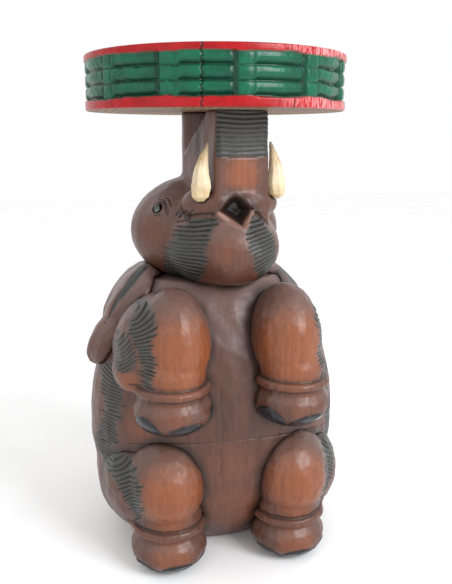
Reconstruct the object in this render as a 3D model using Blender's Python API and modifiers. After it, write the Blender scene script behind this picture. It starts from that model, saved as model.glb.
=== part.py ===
"""Carved wooden elephant stand.

An elephant sits upright on its haunches, forefeet held over its belly and head thrown back, and
carries a round painted top on its raised trunk. The carving is a glue-up: two body blocks stacked at
the lap, a head block on the neck, four leg blocks, two ears, two tusks and two bead eyes, held by
hidden dowels. Metres, +Z up, the elephant looks along -Y, and its own left side is at +X. The origin is
on the floor under the middle of the top.
"""

import math

import bmesh
import bpy
from mathutils import Matrix, Vector

# Overall sizes
HEIGHT = 0.500
TOP_DIAMETER = 0.254
TOP_THICKNESS = 0.0505

# Round top: two rims and a carved band of bars between them
RIM_HEIGHT = 0.0075
RIM_OVERHANG = 0.0025
RIM_EDGE = 0.0018
BAND_BARS = 3
BAND_GROOVE_DEPTH = 0.0035
TOP_SEGMENTS = 60

# Body: an egg cut flat at the floor and at the neck
BODY_WIDTH = 0.270
BODY_DEPTH = 0.210
BODY_SETBACK = 0.014
BODY_EQUATOR = 0.125
BODY_LOWER_RADIUS = 0.145
BODY_UPPER_RADIUS = 0.190
NECK_HEIGHT = 0.285
LAP_HEIGHT_IN_FRONT = 0.137
LAP_TILT = math.radians(15)
HAUNCH_RADII = Vector((0.056, 0.080, 0.064))
HAUNCH_HEIGHT = 0.072
HAUNCH_INSET = 0.004
HAUNCH_FORWARD = 0.010
TAIL_RADIUS = 0.0075

# Head, trunk and what is set into them. The head is turned a little to its own left.
HEAD_TURN = math.radians(12)
CHEEK_HEIGHT = 0.045
CHEEK_SETBACK = 0.028
CHEEK_RADII = Vector((0.080, 0.068, 0.058))
JAW_CENTRE = Vector((-0.002, -0.018, 0.036))
JAW_RADII = Vector((0.058, 0.060, 0.045))
CHIN_CENTRE = Vector((0, -0.042, 0.035))
CHIN_RADII = Vector((0.047, 0.043, 0.038))
CHIN_PITCH = math.radians(10)
LIP_CENTRE = Vector((0, -0.034, 0.077))
LIP_RADII = Vector((0.050, 0.036, 0.022))
TRUNK_WIDTH = 0.058
TRUNK_TOP_WIDTH = 0.053
TRUNK_FRONT = 0.064
TRUNK_TOP_DEPTH = 0.028
TRUNK_ROOT_HEIGHT = 0.060
TRUNK_BACK = 0.018
TRUNK_SLOPE_HEIGHT = 0.0425
POST_RADIUS = 0.025
POST_FLARE_RADIUS = 0.038
POST_FLARE_LENGTH = 0.043
POST_SETBACK = 0.024
POST_SPARE = 0.015
COLUMN_SPARE = 0.0075
TUSK_LENGTH = 0.055
TUSK_DIAMETER = 0.020
TUSK_HEIGHT = 0.091
TUSK_INSET = 0.008
TUSK_BOW = 0.002
TUSK_POINT_RADIUS = 0.0012
EYE_DIAMETER = 0.009
EYE_DIRECTION = Vector((0.785, -0.417, 0.458))
EYE_SUNK = 0.2

# Legs. A place by the body is (part of its half width, distance behind its front, height), and the
# heights of a foreleg are counted from the neck, those of a hind leg from the floor.
FOREFOOT_RADIUS = 0.0380
FOREFOOT_HEIGHT = 0.045
FORE_ANKLE = Vector((0.437, 0.007, -0.089))
WRIST_RADII = Vector((0.0325, 0.032, 0.022))
WRIST_RISE = 0.014
FOREARM_CENTRE = Vector((0.407, 0.020, -0.054))
FOREARM_RADII = Vector((0.0355, 0.044, 0.037))
FOREARM_RISE = 0.057
UPPER_ARM_CENTRE = Vector((0.565, 0.040, -0.050))
UPPER_ARM_RADII = Vector((0.0330, 0.049, 0.046))
UPPER_ARM_ROLL = math.radians(-28)
ELBOW_CENTRE = Vector((0.670, 0.030, -0.077))
LEFT_ARM_TUCK = 0.110
ELBOW_RADII = Vector((0.0235, 0.032, 0.0235))
HINDFOOT_RADIUS = 0.0390
HIND_ANKLE = Vector((0.467, 0.022, 0.046))
SHIN_RADII = Vector((0.0345, 0.035, 0.022))
SHIN_RISE = 0.010
KNEE_CENTRE = Vector((0.478, 0.027, 0.090))
KNEE_RADII = Vector((0.0400, 0.050, 0.047))
THIGH_CENTRE = Vector((0.600, 0.061, 0.079))
THIGH_RADII = Vector((0.045, 0.060, 0.051))
ANKLE_RING_RADIUS = 0.0055
RING_INSET = 0.0015
FOOT_DROP = 0.53

# Ears
EAR_LENGTH = 0.127
EAR_BREADTH = 0.100
EAR_THICKNESS = 0.042
EAR_SPLAY = math.radians(35)
EAR_CENTRE = Vector((0.705, 0.113, -0.040))
LEFT_EAR_TUCK = 0.012
EAR_TIP_FORWARD = 0.016

# Joinery
GLUE_GAP = 0.0003
DOWEL_CLEARANCE = 0.0004
DOWEL_END_ROOM = 0.001
DOWEL_SIDES = 16
TOP_DOWEL_DIAMETER = 0.012
TOP_DOWEL_LENGTH = 0.060
BODY_DOWEL_DIAMETER = 0.014
BODY_DOWEL_LENGTH = 0.070
NECK_DOWEL_LENGTH = 0.056
LAP_DOWEL_SPACING = 0.090
NECK_DOWEL_SPACING = 0.050
LEG_DOWEL_DIAMETER = 0.010
LEG_DOWEL_LENGTH = 0.044
LEG_DOWEL_DIRECTION = Vector((0.25, -1, 0))
FORELEG_DOWEL = Vector((0.393, 0.039, -0.049))
HIND_LEG_DOWEL = Vector((0.459, 0.023, 0.088))
EAR_PEG_DIAMETER = 0.006
EAR_PEG_LENGTH = 0.018
EAR_PEG_REACH = 0.004                      # how far a peg stands into its ear
EAR_PEG_AIM = Vector((0.55, 0.25, 0.75))
EAR_PEG_DIRECTION = Vector((1, 0.7, 0.7))

# Mesh fineness
VOXEL = 0.0025
SMOOTH_STEPS = 5
SPHERE_SEGMENTS = 40
SPHERE_RINGS = 26
RING_SEGMENTS = 40
RING_SIDES = 12
SHARP_ANGLE = math.radians(40)
FAR = 1.0

TOP_UNDERSIDE = HEIGHT - TOP_THICKNESS
BODY_FRONT = BODY_SETBACK - BODY_DEPTH / 2
BODY_BACK = BODY_SETBACK + BODY_DEPTH / 2
CHEEK_CENTRE = Vector((0, CHEEK_SETBACK, NECK_HEIGHT + CHEEK_HEIGHT))


# ---------------------------------------------------------------- scene and mesh helpers

def clear_scene():
    for old in list(bpy.data.objects):
        bpy.data.objects.remove(old)
    for name in ("elephant_stand", "forms"):
        made = bpy.data.collections.new(name)
        bpy.context.scene.collection.children.link(made)
    bpy.data.collections["forms"].hide_render = True


def material(name, colour, roughness):
    made = bpy.data.materials.new(name)
    made.use_nodes = True
    shader = made.node_tree.nodes["Principled BSDF"]
    shader.inputs["Base Color"].default_value = (*colour, 1)
    shader.inputs["Roughness"].default_value = roughness
    shader.inputs["Metallic"].default_value = 0
    made.diffuse_color = (*colour, 1)
    return made


def new_object(name, mesh, collection):
    made = bpy.data.objects.new(name, mesh)
    bpy.data.collections[collection].objects.link(made)
    return made


def form_from(bm, name="form"):
    """A construction form: a closed mesh that is fused, cut or used as a cutter, and never shown."""
    mesh = bpy.data.meshes.new(name)
    bm.to_mesh(mesh)
    bm.free()
    form = new_object(name, mesh, "forms")
    form.hide_render = True
    form.display_type = "WIRE"
    return form


def evaluated_mesh(obj):
    bpy.context.view_layer.update()
    graph = bpy.context.evaluated_depsgraph_get()
    return bpy.data.meshes.new_from_object(obj.evaluated_get(graph))


def apply_modifiers(obj):
    obj.data = evaluated_mesh(obj)
    obj.modifiers.clear()


def mirrored(form):
    """The same form on the other side of the plane x = 0."""
    bm = bmesh.new()
    bm.from_mesh(form.data)
    bmesh.ops.transform(bm, matrix=Matrix.Scale(-1, 4, (1, 0, 0)), verts=bm.verts)
    bmesh.ops.reverse_faces(bm, faces=bm.faces)
    return form_from(bm)


def turned(form, angle):
    form.data.transform(Matrix.Rotation(angle, 4, "Z"))
    return form


# ---------------------------------------------------------------- construction forms

def ellipsoid(centre, radii, pitch=0.0, roll=0.0, up=None, fine=True):
    """An ellipsoid, leaned by pitch about X and by roll about Y. up gives its upper half another height."""
    bm = bmesh.new()
    coarser = 1 if fine else 3
    bmesh.ops.create_uvsphere(bm, u_segments=SPHERE_SEGMENTS // coarser,
                              v_segments=SPHERE_RINGS // coarser, radius=1)
    for vert in bm.verts:
        vert.co.z *= (up or radii[2]) if vert.co.z > 0 else radii[2]
        vert.co.x *= radii[0]
        vert.co.y *= radii[1]
    lean = Matrix.Rotation(roll, 4, "Y") @ Matrix.Rotation(pitch, 4, "X")
    bmesh.ops.transform(bm, matrix=Matrix.Translation(centre) @ lean, verts=bm.verts)
    return form_from(bm)


def block(low, high):
    """A box between two corners."""
    low, high = Vector(low), Vector(high)
    bm = bmesh.new()
    bmesh.ops.create_cube(bm, size=1)
    bmesh.ops.scale(bm, vec=high - low, verts=bm.verts)
    bmesh.ops.translate(bm, vec=(low + high) / 2, verts=bm.verts)
    return form_from(bm)


def rod(start, end, radius, end_radius=None, sides=24):
    """A round bar or cone between two points."""
    start, end = Vector(start), Vector(end)
    bm = bmesh.new()
    bmesh.ops.create_cone(bm, cap_ends=True, segments=sides, radius1=radius,
                          radius2=radius if end_radius is None else end_radius,
                          depth=(end - start).length)
    turn = (end - start).to_track_quat("Z", "Y").to_matrix().to_4x4()
    bmesh.ops.transform(bm, matrix=Matrix.Translation((start + end) / 2) @ turn, verts=bm.verts)
    return form_from(bm)


def ring(centre, major, minor):
    """A torus lying flat."""
    bpy.ops.mesh.primitive_torus_add(major_radius=major, minor_radius=minor, major_segments=RING_SEGMENTS,
                                     minor_segments=RING_SIDES)
    bm = bmesh.new()
    bm.from_mesh(bpy.context.object.data)
    bpy.data.objects.remove(bpy.context.object)
    bmesh.ops.translate(bm, vec=centre, verts=bm.verts)
    return form_from(bm)


def tapered_tube(points, radii):
    """A tube through the points, whose radius changes from point to point."""
    curve = bpy.data.curves.new("tube", "CURVE")
    curve.dimensions = "3D"
    curve.bevel_depth = 1.0
    curve.bevel_resolution = 2
    curve.use_fill_caps = True
    curve.resolution_u = 4
    spline = curve.splines.new("BEZIER")
    spline.bezier_points.add(len(points) - 1)
    for knot, place, radius in zip(spline.bezier_points, points, radii):
        knot.co = place
        knot.radius = radius
        knot.handle_left_type = knot.handle_right_type = "AUTO"
    tube = new_object("tube", curve, "forms")
    bm = bmesh.new()
    bm.from_mesh(evaluated_mesh(tube))
    bmesh.ops.remove_doubles(bm, verts=bm.verts, dist=1e-5)
    bpy.data.objects.remove(tube)
    return form_from(bm)


def fused(forms, faces, voxel=VOXEL, smooth=SMOOTH_STEPS):
    """One closed skin over overlapping forms, softened at the creases and thinned to faces triangles."""
    bm = bmesh.new()
    for form in forms:
        bm.from_mesh(form.data)
        bpy.data.objects.remove(form)
    skin = form_from(bm)
    remesh = skin.modifiers.new("Remesh", "REMESH")
    remesh.mode = "VOXEL"
    remesh.voxel_size = voxel
    remesh.adaptivity = 0
    soften = skin.modifiers.new("Smooth", "SMOOTH")
    soften.iterations = smooth
    soften.factor = 0.5
    apply_modifiers(skin)
    skin.data.calc_loop_triangles()
    thin = skin.modifiers.new("Decimate", "DECIMATE")
    thin.ratio = min(1.0, faces / len(skin.data.loop_triangles))
    apply_modifiers(skin)
    return skin


# ---------------------------------------------------------------- cutting and fitting

def grown(form, gap):
    """A copy of a form, larger by gap all round."""
    bm = bmesh.new()
    bm.from_mesh(form.data)
    bmesh.ops.triangulate(bm, faces=bm.faces)
    bm.normal_update()
    for vert in bm.verts:
        vert.co += vert.normal * gap
    return form_from(bm)


def boolean(form, cutter, operation="DIFFERENCE"):
    change = form.modifiers.new(operation.title(), "BOOLEAN")
    change.operation = operation
    change.solver = "EXACT"
    change.object = cutter
    apply_modifiers(form)
    bpy.data.objects.remove(cutter)
    return form


def without_offcuts(form):
    """Drops the loose chips that a cut leaves, and keeps the largest body."""
    bm = bmesh.new()
    bm.from_mesh(form.data)
    unseen = set(bm.verts)
    bodies = []
    while unseen:
        body, edge_of_body = set(), [unseen.pop()]
        while edge_of_body:
            vert = edge_of_body.pop()
            body.add(vert)
            fresh = {edge.other_vert(vert) for edge in vert.link_edges} & unseen
            unseen -= fresh
            edge_of_body.extend(fresh)
        bodies.append(body)
    bodies.sort(key=len)
    for body in bodies[:-1]:
        bmesh.ops.delete(bm, geom=list(body), context="VERTS")
    bm.to_mesh(form.data)
    bm.free()
    return form


def fit_against(form, *neighbours):
    """Takes each neighbour, and a glue gap round it, out of the form.

    The second cut, without the gap, clears what a growing crease leaves behind.
    """
    for neighbour in neighbours:
        boolean(form, grown(neighbour, GLUE_GAP))
        boolean(form, grown(neighbour, 0))
    return without_offcuts(form)


def cut_below(form, height):
    return boolean(form, block((-FAR, -FAR, height - FAR), (FAR, FAR, height)))


def cut_above(form, height):
    return boolean(form, block((-FAR, -FAR, height), (FAR, FAR, height + FAR)))


def lap_place():
    """The tilted plane where the two body blocks meet: its hinge line runs across the belly."""
    front = Vector((0, BODY_FRONT, LAP_HEIGHT_IN_FRONT))
    return Matrix.Translation(front) @ Matrix.Rotation(-LAP_TILT, 4, "X")


def lap_cutter(side):
    """A slab over the lap (side 1) or under it (side -1), which also takes half of the glue gap."""
    near, far = sorted((-side * GLUE_GAP / 2, side * FAR))
    slab = block((-FAR, -FAR, near), (FAR, FAR, far))
    slab.data.transform(lap_place())
    return slab


def pin(name, centre, direction, length, diameter, *holders):
    """A dowel through a joint, and the blind hole for it in each piece that it holds."""
    half = Vector(direction).normalized() * length / 2
    room = half * (1 + 2 * DOWEL_END_ROOM / length)
    centre = Vector(centre)
    for holder in holders:
        bore = rod(centre - room, centre + room, diameter / 2 + DOWEL_CLEARANCE, sides=DOWEL_SIDES)
        boolean(holder, bore)
    peg = rod(centre - half, centre + half, diameter / 2, sides=DOWEL_SIDES)
    return finished(peg, name, MATERIALS["dowel"])


def finished(form, name, finish):
    """Turns a form into a shown, named piece."""
    form.name = form.data.name = name
    bpy.data.collections["forms"].objects.unlink(form)
    bpy.data.collections["elephant_stand"].objects.link(form)
    form.hide_render = False
    form.display_type = "TEXTURED"
    form.data.materials.clear()
    form.data.materials.append(finish)
    form.data.shade_smooth()
    form.data.set_sharp_from_angle(angle=SHARP_ANGLE)
    return form


# ---------------------------------------------------------------- body

def body_egg():
    """The whole body: egg-shaped, flat on the floor and flat at the neck."""
    egg = ellipsoid((0, BODY_SETBACK, BODY_EQUATOR), (BODY_WIDTH / 2, BODY_DEPTH / 2, BODY_LOWER_RADIUS),
                    up=BODY_UPPER_RADIUS)
    cut_below(egg, -VOXEL)
    return cut_above(egg, NECK_HEIGHT + VOXEL)


def on_body(place, datum=0.0):
    """A place by the body: part of its half width, distance behind its front, height over the datum."""
    return Vector((place.x * BODY_WIDTH / 2, BODY_FRONT + place.y, datum + place.z))


def on_egg(aim):
    """Where a line from the middle of the body, up in the direction aim, meets the egg's skin."""
    radii = Vector((BODY_WIDTH / 2, BODY_DEPTH / 2, BODY_UPPER_RADIUS))
    reach = 1 / Vector([part / radius for part, radius in zip(aim, radii)]).length
    return Vector((0, BODY_SETBACK, BODY_EQUATOR)) + aim * reach


def haunch(side):
    out = BODY_WIDTH / 2 - HAUNCH_INSET - HAUNCH_RADII.x
    return ellipsoid(Vector((side * out, BODY_SETBACK - HAUNCH_FORWARD, HAUNCH_HEIGHT)), HAUNCH_RADII)


def tail():
    """The tail lies on the lower block in relief, from under the lap to a tuft just off the floor."""
    return tapered_tube([(0, BODY_BACK - 0.016, 0.070), (0.005, BODY_BACK - 0.014, 0.056),
                         (0.015, BODY_BACK - 0.022, 0.038), (0.020, BODY_BACK - 0.034, 0.022),
                         (0.020, BODY_BACK - 0.044, 0.010)],
                        [TAIL_RADIUS * 0.8, TAIL_RADIUS, TAIL_RADIUS, TAIL_RADIUS * 1.5, TAIL_RADIUS * 0.7])


def body_blocks():
    """The upper and lower body blocks, which share one egg and meet at the lap."""
    upper = fused([body_egg()], 900)
    cut_above(upper, NECK_HEIGHT)
    boolean(upper, lap_cutter(-1))
    lower = fused([body_egg(), haunch(1), haunch(-1), tail()], 1500)
    cut_below(lower, 0)
    boolean(lower, lap_cutter(1))
    return without_offcuts(upper), without_offcuts(lower)


# ---------------------------------------------------------------- legs

def foreleg(tuck):
    """A foreleg on the left side: upper arm, elbow, and a bulging forearm with a hanging forefoot.

    tuck draws the upper arm in behind the forearm, by a part of the body's half width.
    """
    ankle = on_body(FORE_ANKLE, NECK_HEIGHT)
    drawn_in = Vector((tuck, 0, 0))
    forms = [
        ellipsoid(on_body(UPPER_ARM_CENTRE - drawn_in, NECK_HEIGHT), UPPER_ARM_RADII, roll=UPPER_ARM_ROLL),
        ellipsoid(on_body(ELBOW_CENTRE - drawn_in, NECK_HEIGHT), ELBOW_RADII),
        ellipsoid(on_body(FOREARM_CENTRE, NECK_HEIGHT), FOREARM_RADII, up=FOREARM_RISE),
        ellipsoid(ankle + Vector((0, 0, WRIST_RISE)), WRIST_RADII),
        ring(ankle, FOREFOOT_RADIUS - ANKLE_RING_RADIUS - RING_INSET, ANKLE_RING_RADIUS),
        ellipsoid(ankle - Vector((0, 0, FOREFOOT_HEIGHT / 2)),
                  (FOREFOOT_RADIUS, FOREFOOT_RADIUS, FOREFOOT_HEIGHT * FOOT_DROP)),
    ]
    return fused(forms, 1000)


def hind_leg():
    """The elephant's left hind leg: thigh, round knee, ankle ring and a foot that stands on the floor."""
    ankle = on_body(HIND_ANKLE)
    forms = [
        ellipsoid(on_body(KNEE_CENTRE), KNEE_RADII),
        ellipsoid(on_body(THIGH_CENTRE), THIGH_RADII),
        ellipsoid(ankle + Vector((0, 0, SHIN_RISE)), SHIN_RADII),
        ring(ankle, HINDFOOT_RADIUS - ANKLE_RING_RADIUS - RING_INSET, ANKLE_RING_RADIUS),
        ellipsoid((ankle.x, ankle.y, ankle.z * (1 - FOOT_DROP)),
                  (HINDFOOT_RADIUS, HINDFOOT_RADIUS, ankle.z * FOOT_DROP)),
    ]
    return cut_below(fused(forms, 1000), 0)


# ---------------------------------------------------------------- head

def trunk():
    """The raised trunk from the side: upright in front, sloping back from its tip to the brow."""
    outline = bpy.data.curves.new("trunk", "CURVE")
    outline.dimensions = "2D"
    outline.fill_mode = "BOTH"
    outline.extrude = TRUNK_WIDTH / 2
    outline.bevel_depth = 0
    root, tip = NECK_HEIGHT + TRUNK_ROOT_HEIGHT, TOP_UNDERSIDE + COLUMN_SPARE
    corners = [(-TRUNK_FRONT, root), (TRUNK_BACK, root), (TRUNK_BACK, TOP_UNDERSIDE - TRUNK_SLOPE_HEIGHT),
               (TRUNK_TOP_DEPTH - TRUNK_FRONT, TOP_UNDERSIDE), (TRUNK_TOP_DEPTH - TRUNK_FRONT, tip),
               (-TRUNK_FRONT, tip)]
    spline = outline.splines.new("POLY")
    spline.points.add(len(corners) - 1)
    for point, corner in zip(spline.points, corners):
        point.co = (*corner, 0, 1)
    spline.use_cyclic_u = True
    shape = new_object("trunk", outline, "forms")
    bm = bmesh.new()
    bm.from_mesh(evaluated_mesh(shape))
    bpy.data.objects.remove(shape)
    bmesh.ops.remove_doubles(bm, verts=bm.verts, dist=1e-5)
    upright = Matrix(((0, 0, 1), (1, 0, 0), (0, 1, 0))).to_4x4()
    bmesh.ops.transform(bm, matrix=upright, verts=bm.verts)
    for vert in bm.verts:
        if vert.co.z > TOP_UNDERSIDE - VOXEL:
            vert.co.x *= TRUNK_TOP_WIDTH / TRUNK_WIDTH
    bmesh.ops.recalc_face_normals(bm, faces=bm.faces)
    return form_from(bm)


def head():
    """Cheeks, jaw and lip, with the trunk in front and a round post behind that also carries the top."""
    neck = Vector((0, 0, NECK_HEIGHT))
    post_root = Vector((0, POST_SETBACK, CHEEK_CENTRE.z + POST_SPARE))
    post_tip = Vector((0, POST_SETBACK, TOP_UNDERSIDE + COLUMN_SPARE))
    forms = [
        ellipsoid(CHEEK_CENTRE, CHEEK_RADII),
        ellipsoid(neck + JAW_CENTRE, JAW_RADII),
        ellipsoid(neck + CHIN_CENTRE, CHIN_RADII, pitch=CHIN_PITCH),
        ellipsoid(neck + LIP_CENTRE, LIP_RADII),
        trunk(),
        rod(post_root, post_tip, POST_RADIUS),
        rod(post_root, post_root + Vector((0, 0, POST_FLARE_LENGTH)), POST_FLARE_RADIUS, POST_RADIUS),
    ]
    skull = fused(forms, 2600)
    cut_above(skull, TOP_UNDERSIDE - GLUE_GAP)
    return turned(skull, HEAD_TURN)


def tusk(side):
    """A tusk lies along the trunk, its root low in the cheek and its point up."""
    wide = TUSK_DIAMETER / 2
    root = Vector((side * (TRUNK_WIDTH / 2 + wide * 1.1), TUSK_INSET - TRUNK_FRONT,
                   NECK_HEIGHT + TUSK_HEIGHT))
    tip = root + Vector((side * (TRUNK_TOP_WIDTH - TRUNK_WIDTH - wide) / 2, 0, TUSK_LENGTH - wide))
    bow = Vector((side * TUSK_BOW, 0, 0))
    points = [root - Vector((0, 0, wide * 0.9)), root - Vector((0, 0, wide * 0.45)),
              root + (tip - root) * 0.12, root + (tip - root) * 0.45 + bow, tip]
    radii = [wide * 0.35, wide * 0.85, wide, wide * 0.72, TUSK_POINT_RADIUS]
    return turned(tapered_tube(points, radii), HEAD_TURN)


def eye(side):
    """A bead set into the cheek, most of it sunk."""
    out = EYE_DIRECTION.normalized()
    place = CHEEK_CENTRE + Vector((side * out.x, out.y, out.z)) * CHEEK_RADII
    sunk = Vector((side * out.x, out.y, out.z)) * EYE_DIAMETER * EYE_SUNK
    bead = ellipsoid(place - sunk, (EYE_DIAMETER / 2,) * 3, fine=False)
    return turned(bead, HEAD_TURN)


# ---------------------------------------------------------------- ears

def ear_centre(side):
    """The middle of an ear. The left one lies a little closer to the body."""
    centre = on_body(EAR_CENTRE, NECK_HEIGHT)
    return Vector((centre.x - LEFT_EAR_TUCK if side > 0 else -centre.x, centre.y, centre.z))


def ear(side):
    """An ear swept back over the shoulder: a thick leaf that hugs the body and ends low in a point."""
    length, breadth, thickness = EAR_LENGTH / 2, EAR_BREADTH / 2, EAR_THICKNESS / 2
    lean = side * -EAR_SPLAY
    along = Vector((side * math.sin(EAR_SPLAY), 0, -math.cos(EAR_SPLAY)))
    root, tip = ear_centre(side) - along * length * 0.25, ear_centre(side) + along * length * 0.40
    tip.y -= EAR_TIP_FORWARD
    forms = [
        ellipsoid(root, (thickness, breadth, length * 0.75), roll=lean),
        ellipsoid(tip, (thickness * 0.84, breadth * 0.55, length * 0.58), roll=lean),
    ]
    return fused(forms, 420)


# ---------------------------------------------------------------- round top

def top_profile():
    """The edge of the top, from its upper face to its lower one: a rim, the bars of the band, a rim."""
    radius = TOP_DIAMETER / 2
    bar_radius = radius - RIM_OVERHANG
    groove_radius = bar_radius - BAND_GROOVE_DEPTH
    band_low, band_high = TOP_UNDERSIDE + RIM_HEIGHT, HEIGHT - RIM_HEIGHT
    bar = (band_high - band_low) / BAND_BARS
    points = [(radius - RIM_EDGE, HEIGHT), (radius, HEIGHT - RIM_EDGE), (radius, band_high + RIM_EDGE)]
    for row in range(BAND_BARS):
        upper = band_high - row * bar
        points += [(groove_radius, upper), (bar_radius, upper - bar / 4), (bar_radius, upper - bar * 3 / 4)]
    points += [(groove_radius, band_low), (radius, band_low - RIM_EDGE), (radius, TOP_UNDERSIDE + RIM_EDGE),
               (radius - RIM_EDGE, TOP_UNDERSIDE)]
    return points


def round_top():
    """A turned slab: its half-section spun about the vertical axis."""
    bm = bmesh.new()
    verts = [bm.verts.new((r, 0, z)) for r, z in [(0, HEIGHT), *top_profile(), (0, TOP_UNDERSIDE)]]
    for upper, lower in zip(verts, verts[1:]):
        bm.edges.new((upper, lower))
    bmesh.ops.spin(bm, geom=bm.verts[:] + bm.edges[:], axis=(0, 0, 1), cent=(0, 0, 0), angle=2 * math.pi,
                   steps=TOP_SEGMENTS, use_merge=True)
    bmesh.ops.remove_doubles(bm, verts=bm.verts, dist=1e-5)
    bmesh.ops.recalc_face_normals(bm, faces=bm.faces)
    return form_from(bm)


# ---------------------------------------------------------------- joints

def pin_column_and_neck(top, skull, upper):
    """Two dowels between the column and the round top, and two between the head and the body."""
    turn = Matrix.Rotation(HEAD_TURN, 4, "Z")
    for name, y in (("front", TRUNK_TOP_DEPTH / 2 - TRUNK_FRONT), ("rear", POST_SETBACK)):
        pin(f"top_dowel_{name}", turn @ Vector((0, y, TOP_UNDERSIDE)), (0, 0, 1), TOP_DOWEL_LENGTH,
            TOP_DOWEL_DIAMETER, top, skull)
    for name, side in (("left", 1), ("right", -1)):
        place = turn @ Vector((side * NECK_DOWEL_SPACING / 2, BODY_SETBACK, NECK_HEIGHT))
        pin(f"neck_dowel_{name}", place, (0, 0, 1), NECK_DOWEL_LENGTH, BODY_DOWEL_DIAMETER, skull, upper)


def pin_lap(upper, lower):
    lap = lap_place()
    for name, side in (("left", 1), ("right", -1)):
        place = lap @ Vector((side * LAP_DOWEL_SPACING / 2, BODY_DEPTH / 2, 0))
        pin(f"lap_dowel_{name}", place, lap.to_3x3() @ Vector((0, 0, 1)), BODY_DOWEL_LENGTH,
            BODY_DOWEL_DIAMETER, upper, lower)


def pin_limbs(side, name, upper, lower, foreleg_piece, hind_piece, ear_piece):
    """A dowel in each leg and a peg in the ear, each square to the body where it enters."""
    mirror = Vector((side, 1, 1))
    pin(f"foreleg_dowel_{name}", on_body(FORELEG_DOWEL, NECK_HEIGHT) * mirror, LEG_DOWEL_DIRECTION * mirror,
        LEG_DOWEL_LENGTH, LEG_DOWEL_DIAMETER, upper, foreleg_piece)
    pin(f"hind_leg_dowel_{name}", on_body(HIND_LEG_DOWEL) * mirror, LEG_DOWEL_DIRECTION * mirror,
        LEG_DOWEL_LENGTH, LEG_DOWEL_DIAMETER, lower, hind_piece)
    sunk = EAR_PEG_DIRECTION.normalized() * (EAR_PEG_LENGTH / 2 - EAR_PEG_REACH)
    pin(f"ear_peg_{name}", (on_egg(EAR_PEG_AIM) - sunk) * mirror, EAR_PEG_DIRECTION * mirror, EAR_PEG_LENGTH,
        EAR_PEG_DIAMETER, upper, ear_piece)


# ---------------------------------------------------------------- assembly

MATERIALS = {}


def main():
    clear_scene()
    MATERIALS.update(
        stained=material("stained_wood", (0.23, 0.085, 0.035), 0.45),
        cream=material("cream_tusk", (0.72, 0.58, 0.34), 0.4),
        green=material("green_paint", (0.03, 0.28, 0.17), 0.35),
        bead=material("eye_bead", (0.06, 0.06, 0.05), 0.15),
        dowel=material("dowel", (0.62, 0.44, 0.26), 0.7))
    sides = (("left", 1), ("right", -1))

    upper, lower = body_blocks()
    top = round_top()
    tusks = {name: tusk(side) for name, side in sides}
    eyes = {name: eye(side) for name, side in sides}
    skull = fit_against(head(), upper, *tusks.values(), *eyes.values())
    hind = hind_leg()
    forelegs = {"left": foreleg(LEFT_ARM_TUCK), "right": mirrored(foreleg(0))}
    hind_legs = {"left": hind, "right": mirrored(hind)}
    ears = {name: ear(side) for name, side in sides}
    for name, _ in sides:
        fit_against(hind_legs[name], lower, upper)
        fit_against(forelegs[name], upper, lower, skull, hind_legs[name])
        fit_against(ears[name], upper, skull, forelegs[name])

    pin_column_and_neck(top, skull, upper)
    pin_lap(upper, lower)
    for name, side in sides:
        pin_limbs(side, name, upper, lower, forelegs[name], hind_legs[name], ears[name])

    finished(upper, "upper_body", MATERIALS["stained"])
    finished(lower, "lower_body", MATERIALS["stained"])
    finished(skull, "head", MATERIALS["stained"])
    finished(top, "round_top", MATERIALS["green"])
    for name, _ in sides:
        finished(forelegs[name], f"foreleg_{name}", MATERIALS["stained"])
        finished(hind_legs[name], f"hind_leg_{name}", MATERIALS["stained"])
        finished(ears[name], f"ear_{name}", MATERIALS["stained"])
        finished(tusks[name], f"tusk_{name}", MATERIALS["cream"])
        finished(eyes[name], f"eye_{name}", MATERIALS["bead"])


main()
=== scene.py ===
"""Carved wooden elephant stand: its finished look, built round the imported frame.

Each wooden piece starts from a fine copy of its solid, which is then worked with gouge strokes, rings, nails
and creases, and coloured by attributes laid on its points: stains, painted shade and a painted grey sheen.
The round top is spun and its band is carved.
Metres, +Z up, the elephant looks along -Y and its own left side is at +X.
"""

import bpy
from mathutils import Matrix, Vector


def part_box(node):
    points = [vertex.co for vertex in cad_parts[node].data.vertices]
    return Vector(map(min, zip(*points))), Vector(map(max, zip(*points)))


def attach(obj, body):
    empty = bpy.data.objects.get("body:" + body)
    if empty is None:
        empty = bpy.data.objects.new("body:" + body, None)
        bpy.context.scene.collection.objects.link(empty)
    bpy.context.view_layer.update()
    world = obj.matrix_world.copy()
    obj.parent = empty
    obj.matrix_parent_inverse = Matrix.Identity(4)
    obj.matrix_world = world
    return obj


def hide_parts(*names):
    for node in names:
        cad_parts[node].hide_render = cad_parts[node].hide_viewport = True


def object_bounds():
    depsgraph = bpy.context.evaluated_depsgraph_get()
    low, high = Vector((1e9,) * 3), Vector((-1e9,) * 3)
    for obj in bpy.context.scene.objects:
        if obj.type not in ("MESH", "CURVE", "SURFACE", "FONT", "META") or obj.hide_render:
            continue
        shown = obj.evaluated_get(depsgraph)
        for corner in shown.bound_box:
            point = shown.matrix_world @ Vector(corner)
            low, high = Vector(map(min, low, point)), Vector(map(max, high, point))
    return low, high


bl_info = {
    "name": "Carved Elephant Stand",
    "version": (1, 0, 0),
    "blender": (4, 5, 0),
    "location": "View3D > Sidebar > Elephant",
    "description": "Carves and stains the pieces of a wooden elephant stand",
    "category": "Object",
}

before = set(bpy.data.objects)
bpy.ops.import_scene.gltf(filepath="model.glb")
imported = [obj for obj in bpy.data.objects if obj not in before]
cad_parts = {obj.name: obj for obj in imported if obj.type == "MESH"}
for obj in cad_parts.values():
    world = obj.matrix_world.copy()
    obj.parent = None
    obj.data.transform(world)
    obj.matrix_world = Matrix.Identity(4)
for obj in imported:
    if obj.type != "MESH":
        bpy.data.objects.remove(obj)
CAD_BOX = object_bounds()

import math

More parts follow.
